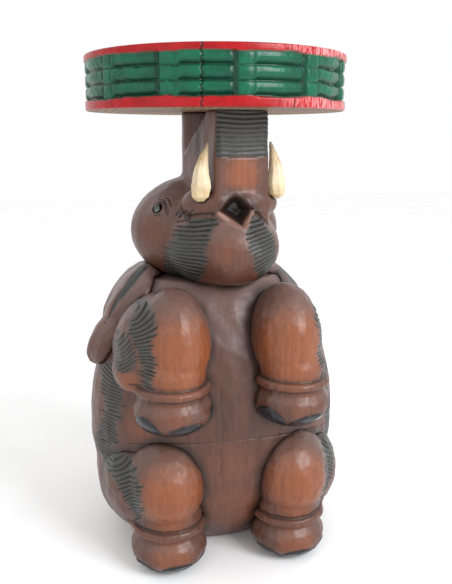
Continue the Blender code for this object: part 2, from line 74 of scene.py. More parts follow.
import bmesh
import bpy
import numpy as np
from bpy.props import FloatProperty, FloatVectorProperty, IntProperty, PointerProperty
from bpy.types import Operator, Panel, PropertyGroup
from mathutils import Matrix, Vector
from mathutils.bvhtree import BVHTree

MM = 0.001
BODY = "root"
SIDES = (("left", 1), ("right", -1))
# Laid marks: black ink, carved-line ink with painted shade, rubbed wear, painted shade, nail paint and painted
# grey sheen, in this order.
STAINS = ("hatch", "groove_ink_and_shade", "wear", "painted_shade", "nail", "painted_sheen")
HEAD_TURN = math.radians(12)


# ---------------------------------------------------------------- sizes and colours

def linear(hex_colour):
    """An sRGB hex colour as linear red, green and blue."""
    channels = [int(hex_colour[i:i + 2], 16) / 255 for i in (1, 3, 5)]
    return tuple(c / 12.92 if c <= 0.04045 else ((c + 0.055) / 1.055) ** 2.4 for c in channels)


def colour(name, hex_colour, description):
    return FloatVectorProperty(name=name, description=description, subtype="COLOR", size=3, min=0, max=1,
                               default=linear(hex_colour))


def size(name, millimetres, description):
    return FloatProperty(name=name, description=description, unit="LENGTH", min=0, default=millimetres * MM)


class ElephantSizes(PropertyGroup):
    body_fineness: size("Body Mesh", 1.6, "Spacing of the points on the two body blocks")
    head_fineness: size("Head Mesh", 1.0, "Spacing of the points on the head")
    leg_fineness: size("Leg Mesh", 0.72, "Spacing of the points on the legs")
    ear_fineness: size("Ear Mesh", 1.1, "Spacing of the points on the ears")
    stroke_depth: size("Stroke Depth", 1.0, "Depth of the gouge strokes")
    rib_pitch: size("Trunk Rib Pitch", 4.3, "Height of one rib on the trunk")
    jaw_pitch: size("Jaw Stroke Pitch", 3.9, "Spacing of the strokes on the jaw")
    leg_pitch: size("Leg Stroke Pitch", 3.1, "Spacing of the strokes on the legs")
    side_pitch: size("Side Stroke Pitch", 3.6, "Spacing of the strokes down the body's sides")
    mouth_depth: size("Mouth Depth", 14.0, "How far the mouth is hollowed")
    nail_relief: size("Nail Relief", 0.7, "How far the nails stand proud")
    unevenness: size("Tool Unevenness", 0.35, "Height of the unevenness left by the carver's tools")
    band_depth: size("Band Depth", 3.2, "Depth of the grooves in the painted band")
    band_panels: IntProperty(name="Band Panels", description="Number of carved panels round the top",
                             min=3, default=12)
    studio_width: FloatProperty(name="Studio Width", description="Width of the floor", unit="LENGTH",
                                default=8.0)


class ElephantColours(PropertyGroup):
    stain: colour("Stain", "#5c382b", "Reddish brown stain over most of the wood")
    stain_dark: colour("Dark Streaks", "#472b22", "The same stain where the grain takes more of it")
    worn: colour("Worn", "#743e23", "Orange brown wood where the bulges are rubbed")
    worn_light: colour("Worn Light", "#8b4f2d", "The palest streaks of the rubbed wood")
    # deep is painted shade: the near black laid in recesses, creases, the mouth and beside touching pieces.
    deep: colour("Deep", "#211612", "Nearly black stain gathered in the recesses")
    # painted sheen: grey-mauve laid on upward faces for the reflection of a light above
    painted_sheen: colour("Bloom", "#85726d", "Grey wax bloom on upward faces")
    black: colour("Hatch Black", "#343937", "Thin black stain over the gouge strokes")
    nail: colour("Nail Black", "#14161a", "Gloss black paint on the nails")
    cream: colour("Tusk Cream", "#c9b48d", "Aged cream paint on the tusks")
    cream_dark: colour("Tusk Shade", "#8f6a3e", "Brown glaze rubbed into the tusks")
    green: colour("Band Green", "#045a3f", "Green enamel on the carved band")
    # painted shade: dark green on the band's bars' lower slopes and in its grooves
    green_painted_shade: colour("Band Shade", "#08382a", "Green enamel in the band's grooves")
    red: colour("Rim Red", "#8f040c", "Red enamel on the rims")
    # pale pink: rubbed-through paint, and painted light on the rims' side toward the lamp
    red_rubbed_and_lit: colour("Faded Red", "#d98a8c", "Red enamel rubbed through to its primer")
    bare: colour("Bare Wood", "#94765f", "Unstained wood under the top")
    iris: colour("Iris", "#5d6656", "Grey green ring of the bead eyes")
    dowel: colour("Dowel", "#c19a6b", "Beech of the dowels")
    floor: colour("Floor", "#fefefe", "Studio floor")


def sizes():
    return bpy.context.scene.elephant_sizes


def colours():
    return bpy.context.scene.elephant_colours


# ---------------------------------------------------------------- materials

def add(tree, kind, settings=None, inputs=None):
    """Adds a node. settings are its properties. inputs are its sockets' values or links."""
    node = tree.nodes.new(kind)
    for name, value in (settings or {}).items():
        setattr(node, name, value)
    for key, value in (inputs or {}).items():
        socket = node.inputs[key]
        if isinstance(value, bpy.types.NodeSocket):
            tree.links.new(value, socket)
        else:
            socket.default_value = value
    return node


def new_material(name, roughness, **shader_values):
    """A material with a Principled shader. Its constants stand on the shader's own sockets."""
    material = bpy.data.materials.new(name)
    material.use_nodes = True
    tree = material.node_tree
    shader = tree.nodes["Principled BSDF"]
    shader.inputs["Roughness"].default_value = roughness
    for key, value in shader_values.items():
        shader.inputs[key.replace("_", " ")].default_value = value
    return material, tree, shader


def mixed(tree, factor, first, second):
    """The colour socket that goes from first to second as factor goes from 0 to 1."""
    first, second = (c if isinstance(c, bpy.types.NodeSocket) else (*c, 1) for c in (first, second))
    return add(tree, "ShaderNodeMix", {"data_type": "RGBA"}, {0: factor, 6: first, 7: second}).outputs[2]


def worked_out(tree, operation, first, second=0.0, third=0.0):
    return add(tree, "ShaderNodeMath", {"operation": operation, "use_clamp": operation == "MULTIPLY_ADD"},
               {0: first, 1: second, 2: third}).outputs[0]


def ranged(tree, value, low, high, to_low=0.0, to_high=1.0):
    return add(tree, "ShaderNodeMapRange", {"interpolation_type": "SMOOTHSTEP"},
               {0: value, 1: low, 2: high, 3: to_low, 4: to_high}).outputs[0]


def noise_of(tree, across_mm, along_mm=None, detail=3.0, rough=0.55):
    """Noise on object coordinates, across_mm wide and along_mm long up the grain."""
    place = add(tree, "ShaderNodeTexCoord").outputs["Object"]
    across, along = 1 / (across_mm * MM), 1 / ((along_mm or across_mm) * MM)
    scaled = add(tree, "ShaderNodeMapping", {}, {"Vector": place, "Scale": (across, across, along)})
    return add(tree, "ShaderNodeTexNoise", {}, {"Vector": scaled.outputs[0], "Scale": 1.0, "Detail": detail,
                                                "Roughness": rough}).outputs["Fac"]


def patched(tree, name, blotches):
    """A laid attribute made patchy by a noise."""
    uneven = worked_out(tree, "SUBTRACT", blotches, 0.5)
    return worked_out(tree, "MULTIPLY_ADD", uneven, 0.5, laid(tree, name))


def laid(tree, name):
    """An attribute laid on the piece's points."""
    return add(tree, "ShaderNodeAttribute", {"attribute_name": name}).outputs["Fac"]


def finish(tree, shader, tone, *layers):
    """Gives the shader its colour, and bump from (height socket, depth in mm) layers, coarse first."""
    tree.links.new(tone, shader.inputs["Base Color"])
    for height, depth in layers:
        sockets = {"Height": height, "Distance": depth * MM, "Strength": 1.0}
        if shader.inputs["Normal"].links:
            sockets["Normal"] = shader.inputs["Normal"].links[0].from_socket
        tree.links.new(add(tree, "ShaderNodeBump", {}, sockets).outputs[0], shader.inputs["Normal"])


def stained_wood():
    """Softwood stained reddish brown, rubbed back to orange on the bulges, then waxed to a satin sheen.

    The stain gathers in the grain. The recesses and the joins between pieces carry painted shade, and the
    upward faces a painted grey sheen. The gouge strokes carry a thin black stain, and the nails gloss black
    paint.
    """
    pots = colours()
    material, tree, shader = new_material("stained_waxed_wood", 0.42, Coat_Weight=0.22, Coat_Roughness=0.34)
    shader.inputs["Specular IOR Level"].default_value = 0.32
    streaks = noise_of(tree, 3.2, 70, 5.0, 0.6)
    fine = noise_of(tree, 0.9, 16, 3.0)
    blotches = noise_of(tree, 26, 40, 3.0)
    tone = mixed(tree, ranged(tree, streaks, 0.2, 0.7), pots.stain_dark, pots.stain)
    tone = mixed(tree, worked_out(tree, "MULTIPLY", ranged(tree, blotches, 0.42, 0.7), 0.35), tone,
                 pots.stain_dark)
    rubbed = mixed(tree, ranged(tree, streaks, 0.2, 0.85), pots.worn, pots.worn_light)
    tone = mixed(tree, ranged(tree, patched(tree, "wear", blotches), 0.05, 1.0), tone, rubbed)
    # painted sheen: grey over upward faces
    tone = mixed(tree, worked_out(tree, "MULTIPLY", laid(tree, "painted_sheen"), 0.7), tone, pots.painted_sheen)
    pores = worked_out(tree, "MULTIPLY", ranged(tree, fine, 0.56, 0.72), 0.4)
    tone = mixed(tree, pores, tone, pots.stain_dark)
    # painted shade: near black in recesses and beside touching pieces
    tone = mixed(tree, ranged(tree, patched(tree, "painted_shade", blotches), 0.08, 1.0, 0.0, 0.9), tone, pots.deep)
    cover = ranged(tree, streaks, 0.2, 0.5, 0.82, 0.97)
    tone = mixed(tree, worked_out(tree, "MULTIPLY", laid(tree, "hatch"), cover), tone, pots.black)
    # near black in the carved lines as ink, and in the mouth hollow as painted shade
    tone = mixed(tree, worked_out(tree, "MULTIPLY", laid(tree, "groove_ink_and_shade"), 0.93), tone, linear("#080706"))
    nail = laid(tree, "nail")
    tone = mixed(tree, nail, tone, pots.nail)
    sheen = ranged(tree, streaks, 0.3, 0.7, 0.46, 0.36)
    tree.links.new(worked_out(tree, "SUBTRACT", sheen, worked_out(tree, "MULTIPLY", nail, 0.2)),
                   shader.inputs["Roughness"])
    finish(tree, shader, tone, (streaks, 0.22), (fine, 0.08))
    return material


def tusk_paint():
    """Soft wood painted cream, with a brown glaze rubbed along the grain, and painted shade at the root and
    near the tip.
    """
    pots = colours()
    material, tree, shader = new_material("aged_cream_paint", 0.36, Coat_Weight=0.2, Coat_Roughness=0.25)
    streaks = noise_of(tree, 1.4, 16, 4.0)
    blotches = noise_of(tree, 7, 14, 2.0)
    tone = mixed(tree, ranged(tree, streaks, 0.5, 0.95), pots.cream, pots.cream_dark)
    tone = mixed(tree, ranged(tree, blotches, 0.42, 0.75, 0, 0.6), tone, linear("#9a7040"))
    tone = mixed(tree, laid(tree, "wear"), tone, linear("#e8dcc2"))
    # painted shade at the root and near the tip
    tone = mixed(tree, laid(tree, "painted_shade"), tone, pots.deep)
    finish(tree, shader, tone, (streaks, 0.15))
    return material


def bead_glass():
    """A pressed glass bead: glossy, a black pupil in a grey green ring."""
    pots = colours()
    material, tree, shader = new_material("pressed_glass_bead", 0.12, Coat_Weight=0.6, Coat_Roughness=0.05)
    flecks = noise_of(tree, 0.8, detail=2.0)
    iris = mixed(tree, ranged(tree, flecks, 0.35, 0.65), pots.iris, linear("#2d3430"))
    tone = mixed(tree, laid(tree, "pupil"), iris, linear("#07080a"))
    finish(tree, shader, tone, (flecks, 0.03))
    return material


def band_enamel():
    """Brushed enamel: green on the band with painted shade in its grooves, red on the rims, rubbed through
    where the top is handled; that pale pink lies on the lamp's side and is also painted light.
    """
    pots = colours()
    material, tree, shader = new_material("brushed_enamel", 0.3, Coat_Weight=0.1, Coat_Roughness=0.2)
    shader.inputs["Specular IOR Level"].default_value = 0.22
    brush = noise_of(tree, 1.6, 9, 4.0)
    blotches = noise_of(tree, 18, 12, 3.0)
    fine = noise_of(tree, 0.8, 2.5, 2.0)
    green = mixed(tree, ranged(tree, blotches, 0.35, 0.7), pots.green, linear("#034a34"))
    green = mixed(tree, ranged(tree, brush, 0.55, 0.8, 0, 0.3), green, linear("#3d8f7c"))
    # painted shade in the band's grooves and on the bars' lower slopes
    green = mixed(tree, laid(tree, "groove_ink_and_shade"), green, pots.green_painted_shade)
    scuffed_and_lit = worked_out(tree, "MULTIPLY", laid(tree, "wear"), ranged(tree, brush, 0.42, 0.62))
    red = mixed(tree, ranged(tree, blotches, 0.3, 0.7), pots.red, linear("#a30a12"))
    red = mixed(tree, scuffed_and_lit, red, pots.red_rubbed_and_lit)
    painted = mixed(tree, laid(tree, "rim"), green, red)
    grain = noise_of(tree, 60, detail=4.0)
    rings = add(tree, "ShaderNodeTexWave", {"wave_type": "BANDS", "bands_direction": "X"},
                {"Vector": add(tree, "ShaderNodeTexCoord").outputs["Object"], "Scale": 42.0,
                 "Distortion": 5.0, "Detail": 3.0, "Detail Scale": 1.2}).outputs["Fac"]
    bare = mixed(tree, ranged(tree, rings, 0.2, 0.9), pots.bare, linear("#77593f"))
    bare = mixed(tree, ranged(tree, grain, 0.4, 0.65, 0, 0.5), bare, linear("#5f4a3d"))
    upper = mixed(tree, ranged(tree, rings, 0.2, 0.9), pots.stain, pots.worn)
    tone = mixed(tree, laid(tree, "underside"), painted, bare)
    tone = mixed(tree, laid(tree, "table"), tone, upper)
    tone = mixed(tree, laid(tree, "crack"), tone, linear("#120b09"))
    dull = worked_out(tree, "MULTIPLY", laid(tree, "underside"), 0.4)
    tree.links.new(worked_out(tree, "ADD", ranged(tree, brush, 0.3, 0.7, 0.32, 0.24), dull),
                   shader.inputs["Roughness"])
    finish(tree, shader, tone, (brush, 0.14), (fine, 0.05))
    return material


def beech():
    """Turned beech dowel, unfinished: pale, with short brown flecks."""
    pots = colours()
    material, tree, shader = new_material("bare_beech", 0.62)
    flecks = noise_of(tree, 0.7, 5, 2.0)
    grain = noise_of(tree, 2.0, 50, 4.0)
    tone = mixed(tree, ranged(tree, grain, 0.35, 0.7), pots.dowel, linear("#a97f52"))
    tone = mixed(tree, ranged(tree, flecks, 0.6, 0.75, 0, 0.6), tone, linear("#7c5634"))
    finish(tree, shader, tone, (flecks, 0.05))
    return material


def floor_paint():
    """Matt white studio floor, very slightly mottled."""
    pots = colours()
    material, tree, shader = new_material("matt_studio_floor", 1.0)
    shader.inputs["Specular IOR Level"].default_value = 0.0
    mottle = noise_of(tree, 120, detail=2.0)
    tone = mixed(tree, ranged(tree, mottle, 0.3, 0.7), pots.floor, linear("#fafafa"))
    finish(tree, shader, tone)
    return material


MADE = {}


def finish_of(maker):
    """The material that a maker function gives, made once."""
    name = maker.__name__
    if name not in MADE:
        MADE[name] = maker()
    return MADE[name]


# ---------------------------------------------------------------- carving tools

PATH_STEPS = 8
STROKE_DRAWS = 257


def smoothstep(value, low, high):
    t = np.clip((value - low) / (high - low), 0, 1)
    return t * t * (3 - 2 * t)


def points_of(mesh, collection="vertices", field="co"):
    values = np.empty(len(mesh.vertices) * 3)
    getattr(mesh, collection).foreach_get(field, values)
    return values.reshape(-1, 3)


def waves(points, width, seed):
    """A smooth unevenness between about -1 and 1, with lumps about width across."""
    draw = np.random.RandomState(seed)
    total = np.zeros(len(points))
    for _ in range(8):
        direction = draw.normal(size=3)
        direction *= draw.uniform(0.6, 1.5) * 2 * math.pi / (width * np.linalg.norm(direction))
        total += np.sin(points @ direction + draw.uniform(0, 2 * math.pi))
    return total / 4


class Carving:
    """A piece on the bench: its points, their normals, and the stains laid on them."""

    def __init__(self, piece):
        self.piece, self.mesh = piece, piece.data
        self.points = points_of(self.mesh)
        self.normals = points_of(self.mesh, "vertex_normals", "vector")
        self.stains = {name: np.zeros(len(self.points)) for name in STAINS}

    def cut(self, depth):
        """Sinks the points by depth, which is different at each point. A negative depth raises them."""
        self.points -= self.normals * depth[:, None]

    def stain(self, name, amount):
        laid_before = self.stains.get(name, np.zeros(len(self.points)))
        self.stains[name] = np.maximum(laid_before, np.clip(amount, 0, 1))

    def clear(self, name, amount):
        self.stains[name] *= 1 - np.clip(amount, 0, 1)

    def off_the_bench(self):
        """Puts the worked points and the stains back on the mesh."""
        self.mesh.vertices.foreach_set("co", self.points.ravel())
        for name, amount in self.stains.items():
            self.mesh.attributes.new(name, "FLOAT", "POINT").data.foreach_set("value", amount)
        self.mesh.update()


def near_path(points, path):
    """How far along a path each point is, how far from it, and the path's length."""
    along, nearest = np.zeros(len(points)), np.full(len(points), np.inf)
    length = 0.0
    for first, last in zip(path, path[1:]):
        run = last - first
        stretch = np.linalg.norm(run)
        part = np.clip((points - first) @ run / stretch ** 2, 0, 1)
        distance = np.linalg.norm(points - (first + part[:, None] * run), axis=1)
        closer = distance < nearest
        nearest[closer] = distance[closer]
        along[closer] = length + part[closer] * stretch
        length += stretch
    return along, nearest, length


def on_surface(work, path):
    """A smooth path in metres through places given in millimetres, each laid on the piece's surface."""
    places = np.array(path, float) * MM
    fine = np.linspace(0, len(places) - 1, (len(places) - 1) * PATH_STEPS + 1)
    slopes = np.gradient(places, axis=0)
    step = np.minimum(fine.astype(int), len(places) - 2)
    t = (fine - step)[:, None]
    rounded = ((2 * t ** 3 - 3 * t ** 2 + 1) * places[step] + (t ** 3 - 2 * t ** 2 + t) * slopes[step]
               + (3 * t ** 2 - 2 * t ** 3) * places[step + 1] + (t ** 3 - t ** 2) * slopes[step + 1])
    surface = work.points[[np.argmin(((work.points - place) ** 2).sum(axis=1)) for place in rounded]]
    return [place for before, place in zip((surface[0] + 1, *surface), surface)
            if np.linalg.norm(place - before) > 1e-5]


def span_of(outline, heights):
    """The least and greatest place across a closed outline at each height, and whether it reaches there."""
    corners = np.array(outline, float) * MM
    low, high = np.full(len(heights), np.inf), np.full(len(heights), -np.inf)
    for (ax, az), (bx, bz) in zip(corners, np.roll(corners, -1, axis=0)):
        if az != bz:
            part = (heights - az) / (bz - az)
            meets = (part >= 0) & (part <= 1)
            place = ax + part * (bx - ax)
            low = np.where(meets, np.minimum(low, place), low)
            high = np.where(meets, np.maximum(high, place), high)
    return low, high, np.isfinite(low)


def hatch(work, outline, pitch, leans, seed, side=-1, flank=False, ragged=4.0, solid=0.8, depth=None):
    """A panel of gouge strokes, ragged at both ends and stained black.

    The outline is in mm as seen from the front, or from the side for a panel on the flank. side is 1 for its
    mirror image. leans are the strokes' angles from level, from the lowest stroke to the highest.
    """
    depth = sizes().stroke_depth if depth is None else depth
    rag = ragged * MM
    heights = work.points[:, 2]
    if flank:
        across, facing = work.points[:, 1], smoothstep(side * work.normals[:, 0], 0.1, 0.35)
    else:
        across, facing = -side * work.points[:, 0], smoothstep(-work.normals[:, 1], -0.25, 0.05)
    low, high, there = span_of(outline, heights)
    low, high = np.where(there, low, 0), np.where(there, high, 0)
    floor, ceiling = min(z for _, z in outline) * MM, max(z for _, z in outline) * MM
    ends = smoothstep(heights, floor, floor + pitch) * smoothstep(heights, ceiling, ceiling - pitch)
    ends *= there * facing

    steps = np.linspace(floor, ceiling, 64)
    turns = np.radians(np.interp(steps, np.linspace(floor, ceiling, len(leans)), leans))
    lean = np.interp(heights, steps, turns)
    risen = np.interp(heights, steps, np.cumsum(np.cos(turns)) * (steps[1] - steps[0]))
    middle = np.mean([x for x, _ in outline]) * MM
    place = (risen - (across - middle) * np.sin(lean)) / pitch + 0.06 * waves(work.points, 16 * MM, seed)
    number = np.floor(place).astype(int)

    draws = np.random.RandomState(seed).uniform(-1, 1, (STROKE_DRAWS, 3))
    first, last, shift = draws[number % STROKE_DRAWS].T
    reach = np.minimum(across - low + rag * (0.2 + 0.8 * first), high - across + rag * (0.2 + 0.8 * last))
    inside = smoothstep(reach, 0, rag) * ends
    line = np.clip(1 - np.abs(place - number - 0.5 + 0.06 * shift) / (0.12 + 0.18 * inside), 0, 1)
    gouged = line * inside
    core = smoothstep(np.minimum(across - low, high - across), -0.1 * rag, 1.1 * rag) * ends
    work.cut(depth * gouged)
    work.stain("hatch", np.maximum(solid * core, smoothstep(gouged, 0.05, 0.4)))
    work.stain("groove_ink_and_shade", smoothstep(gouged, 0.1, 0.6))


def score(work, path, width, depth, dark=1.0):
    """A V cut along a path: width and depth in mm."""
    _, nearest, _ = near_path(work.points, on_surface(work, path))
    cut = np.clip(1 - nearest / (width * MM / 2), 0, 1)
    work.cut(depth * MM * smoothstep(cut, 0, 1))
    work.stain("groove_ink_and_shade", dark * smoothstep(cut, 0.1, 0.9))


def rub(work, spots, side=1):
    """Rubs the stain back round each (place in mm, radius in mm, strength), mirrored where side is -1."""
    for place, radius, strength in spots:
        distance = np.linalg.norm(work.points - np.array(place) * (side, 1, 1) * MM, axis=1)
        work.stain("wear", strength * smoothstep(distance, radius * MM, radius * MM * 0.25))


def distance_to(points, nodes, limit):
    """How far each point is from the nearest of these CAD nodes, up to limit."""
    verts, faces = [], []
    for node in nodes:
        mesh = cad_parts[node].data
        start = len(verts)
        verts += [v.co.copy() for v in mesh.vertices]
        faces += [tuple(start + i for i in face.vertices) for face in mesh.polygons]
    tree = BVHTree.FromPolygons(verts, faces)
    found = (tree.find_nearest(Vector(p), limit)[3] for p in points)
    return np.array([limit if d is None else d for d in found])


def paint_contact_shade(work, nodes, width, strength=1.0):
    """Painted shade beside the pieces that touch this one, over about width mm."""
    distance = distance_to(work.points, nodes, width * 2.5 * MM)
    work.stain("painted_shade", strength * np.exp(-(distance / (width * MM)) ** 2))


def weather(work, seed, painted_sheen=0.8):
    """The tools' unevenness over the whole piece, and a painted grey sheen where it faces up."""
    work.cut(sizes().unevenness * waves(work.points, 22 * MM, seed))
    work.cut(sizes().unevenness * 0.25 * waves(work.points, 7 * MM, seed + 1))
    # painted sheen on upward faces
    work.stain("painted_sheen", painted_sheen * smoothstep(work.normals[:, 2], 0.1, 0.9))


# ---------------------------------------------------------------- making pieces

BODY_SMOOTHING, HEAD_SMOOTHING, LEG_SMOOTHING, EAR_SMOOTHING, TUSK_SMOOTHING = 7, 9, 14, 7, 8
TUSK_FINENESS = 0.6 * MM


def piece_from(bm, name):
    mesh = bpy.data.meshes.new(name)
    bm.to_mesh(mesh)
    bm.free()
    mesh.shade_smooth()
    piece = bpy.data.objects.new(name, mesh)
    bpy.context.scene.collection.objects.link(piece)
    return piece


def settled(piece):
    """Applies the piece's modifiers."""
    graph = bpy.context.evaluated_depsgraph_get()
    mesh = bpy.data.meshes.new_from_object(piece.evaluated_get(graph))
    piece.modifiers.clear()
    piece.data = mesh
    mesh.name = piece.name
    return piece


def blank(name, node, fineness, softening):
    """A fine copy of a CAD node with its facets smoothed away, ready to carve."""
    bm = bmesh.new()
    bm.from_mesh(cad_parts[node].data)
    bmesh.ops.remove_doubles(bm, verts=bm.verts, dist=1e-5)
    piece = piece_from(bm, name)
    skin = piece.modifiers.new("Skin", "REMESH")
    skin.mode = "VOXEL"
    skin.voxel_size = fineness
    soften = piece.modifiers.new("Soften", "SMOOTH")
    soften.factor = 0.5
    soften.iterations = softening
    settled(piece)
    piece.data.shade_smooth()
    return piece


def refined(piece, outline):
    """Halves the faces behind a flank panel's outline on both sides, so that its strokes show crisply."""
    bm = bmesh.new()
    bm.from_mesh(piece.data)
    spare, flank = 6 * MM, 90 * MM
    (back, low), (front, high) = np.min(outline, axis=0) * MM - spare, np.max(outline, axis=0) * MM + spare
    edges = [edge for edge in bm.edges if all(back < vert.co.y < front and low < vert.co.z < high
                                              and abs(vert.co.x) > flank for vert in edge.verts)]
    bmesh.ops.subdivide_edges(bm, edges=edges, cuts=1, use_grid_fill=True)
    bm.to_mesh(piece.data)
    bm.free()
    piece.data.shade_smooth()


def deliver(work, maker, slot, *nodes):
    """Ends the work on a piece: its finish, the nodes it stands for and what it rides on."""
    work.off_the_bench()
    piece = work.piece
    piece.data.materials.clear()
    piece.data.materials.append(finish_of(maker))
    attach(piece, BODY)
    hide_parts(*nodes)


def mirror_x(path, side):
    """The same path on the other side of the body when side is 1: paths are given for the right side."""
    return [(-side * x, y, z) for x, y, z in path]


def head_frame(points):
    """Points as the head sees them, with its turn taken out."""
    turn = np.array(Matrix.Rotation(-HEAD_TURN, 3, "Z"))
    return points @ turn.T


def from_head(path):
    turn = Matrix.Rotation(HEAD_TURN, 3, "Z")
    return [tuple(turn @ Vector(place)) for place in path]


# ---------------------------------------------------------------- body blocks

SIDE_BAND = [(-18, 204), (-30, 198), (-45, 188), (-49, 174), (-51, 154), (-47, 139), (-46, 124), (-39, 108),
             (-24, 98), (-6, 98), (-3, 108), (-13, 125), (-23, 144), (-26, 158), (-21, 168), (-13, 178),
             (-5, 191)]
SIDE_LEANS = (14, -6, 8, -8, 6, 22)
HIND_HATCH = [(-126, 103), (-118, 110), (-106, 118), (-97, 117), (-93, 109), (-91, 96), (-91.5, 80),
              (-91, 56), (-96, 53), (-103, 70), (-109, 82), (-116, 92), (-124, 97)]
HIND_LEANS = (66, 50, 40, 34, 52)
BELLY_SCORES = {
    "upper_body": ([(-12, -84, 190), (-13, -88, 172), (-11, -90, 155), (-12, -90, 142)], 1.6, 0.3, 0.35),
    "lower_body": ([(-14, -89, 128), (-12, -89, 112), (-14, -87, 100)], 1.8, 0.4, 0.4),
}
BELLY_RUBS = [((0, -88, 52), 66, 0.4), ((-4, -92, 112), 46, 0.35), ((-10, -88, 205), 44, 0.25),
              ((-95, -80, 150), 40, 0.7), ((95, -80, 150), 40, 0.7), ((-128, 20, 70), 60, 0.4),
              ((128, 20, 70), 60, 0.4), ((0, 110, 150), 80, 0.15)]
LAP_FRONT = (0, -91, 137)
LAP_TILT = math.radians(15)


def close_lap(work, above):
    """Draws the edge of a block up to the lap, so that the joint shows as a fine line."""
    normal = np.array((0, math.sin(LAP_TILT), math.cos(LAP_TILT)))
    height = (work.points - np.array(LAP_FRONT) * MM) @ normal
    shift = 1.1 * MM * smoothstep(np.abs(height), 5 * MM, 0.5 * MM)
    work.points -= (1 if above else -1) * shift[:, None] * normal
    work.cut(-0.5 * shift * (np.abs(work.normals @ normal) < 0.7))
    # painted shade along the seam line
    work.stain("painted_shade", 0.8 * smoothstep(np.abs(height), 2.4 * MM, 0.3 * MM))


class ELEPHANT_OT_body_blocks(Operator):
    """Carve and stain the two body blocks, with the bands of strokes down their sides"""
    bl_idname = "elephant.body_blocks"
    bl_label = "Body Blocks"

    def execute(self, context):
        limbs = [f"{limb}_{name}" for limb in ("foreleg", "hind_leg", "ear") for name, _ in SIDES]
        for node in ("upper_body", "lower_body"):
            piece = blank(f"{node}_carved", node, sizes().body_fineness, BODY_SMOOTHING)
            refined(piece, SIDE_BAND)
            work = Carving(piece)
            # painted shade beside the limbs and the head
            paint_contact_shade(work, limbs, 8, 0.75)
            paint_contact_shade(work, ["head"], 5, 0.7)
            close_lap(work, node == "upper_body")
            weather(work, 10)
            for _, side in SIDES:
                hatch(work, SIDE_BAND, sizes().side_pitch, SIDE_LEANS, 31 + side, side=side, flank=True,
                      ragged=6)
                if node == "lower_body":
                    hatch(work, HIND_HATCH, sizes().leg_pitch, HIND_LEANS, 71, side=side, ragged=3)
            rub(work, BELLY_RUBS)
            # painted shade down the middle of the belly, between the legs
            x, z = work.points[:, 0], work.points[:, 2]
            middle = np.exp(-(x / 0.050) ** 2) * smoothstep(z, 0.06, 0.15) * smoothstep(z, 0.28, 0.21)
            work.stain("painted_shade", 0.42 * middle * (work.points[:, 1] < 0))
            score(work, *BELLY_SCORES[node])
            deliver(work, stained_wood, "stained_wood", node)
        return {"FINISHED"}


# ---------------------------------------------------------------- head

MOUTH = [(-9, 357.5), (-5, 364), (0, 369), (6, 372), (12, 370), (16, 364), (21, 358), (17, 352), (11, 343.5),
         (3, 350)]
LIP = [(-9, -66, 356.5), (-3, -68, 352.5), (3, -69, 348.5), (11, -71, 342), (17, -68, 351), (22, -66, 357)]
LIP_CREASES = [[(-44, -34, 346), (-30, -57, 353), (-9, -66, 357.5)],
               [(21, -66, 358), (30, -60, 353), (38, -54, 343)]]
JAW_RIGHT = [(-19, 354), (-34, 350), (-48, 338), (-54, 325), (-58, 312), (-58, 298), (-54, 289), (-42, 283),
             (-26, 283), (-22, 296), (-21, 305), (-23, 318), (-22, 326), (-14, 341), (-7, 352)]
JAW_LEFT = [(13, 345), (22, 354), (33, 350), (41, 340), (47, 325), (48, 305), (38, 291), (29, 288), (24, 298),
            (20, 305), (13.5, 329), (11, 338)]
WHISKERS = [(-45, 347), (-44, 354), (-34, 361), (-31, 359), (-36, 350)]
EYE_CREASES = [[(-3, 11), (3, 10), (9, 5), (14, -3)], [(0, 7.5), (6, 5.5), (9, 1), (13, -5)],
               [(4, 14), (9, 11), (14, 5)], [(-6, -2), (-1, -7), (5, -6)], [(-6, 1), (-5, 5), (0, 7.5)]]


def depth_inside(outline, across, up):
    """How far each place is inside a closed outline, negative outside it."""
    corners = np.array(outline) * MM
    nearest, inside = np.full(len(across), np.inf), np.zeros(len(across), bool)
    for (ax, az), (bx, bz) in zip(corners, np.roll(corners, -1, axis=0)):
        run = np.array((bx - ax, bz - az))
        part = np.clip(((across - ax) * run[0] + (up - az) * run[1]) / (run @ run), 0, 1)
        nearest = np.minimum(nearest, np.hypot(across - ax - part * run[0], up - az - part * run[1]))
        inside ^= ((az > up) != (bz > up)) & (across < (bx - ax) * (up - az) / ((bz - az) or 1e-9) + ax)
    return np.where(inside, nearest, -nearest)


HEAD_RUBS = [((13, -62, 392), 30, 0.8), ((13, -62, 380), 22, 0.5), ((-2, -78, 322), 26, 0.4),
             ((2, -72, 304), 22, 0.2), ((-62, -12, 330), 34, 0.28), ((-40, -30, 372), 20, 0.2)]
TRUNK_LINE = [(-28, -64, 407), (0, -66, 407), (27, -64, 407)]


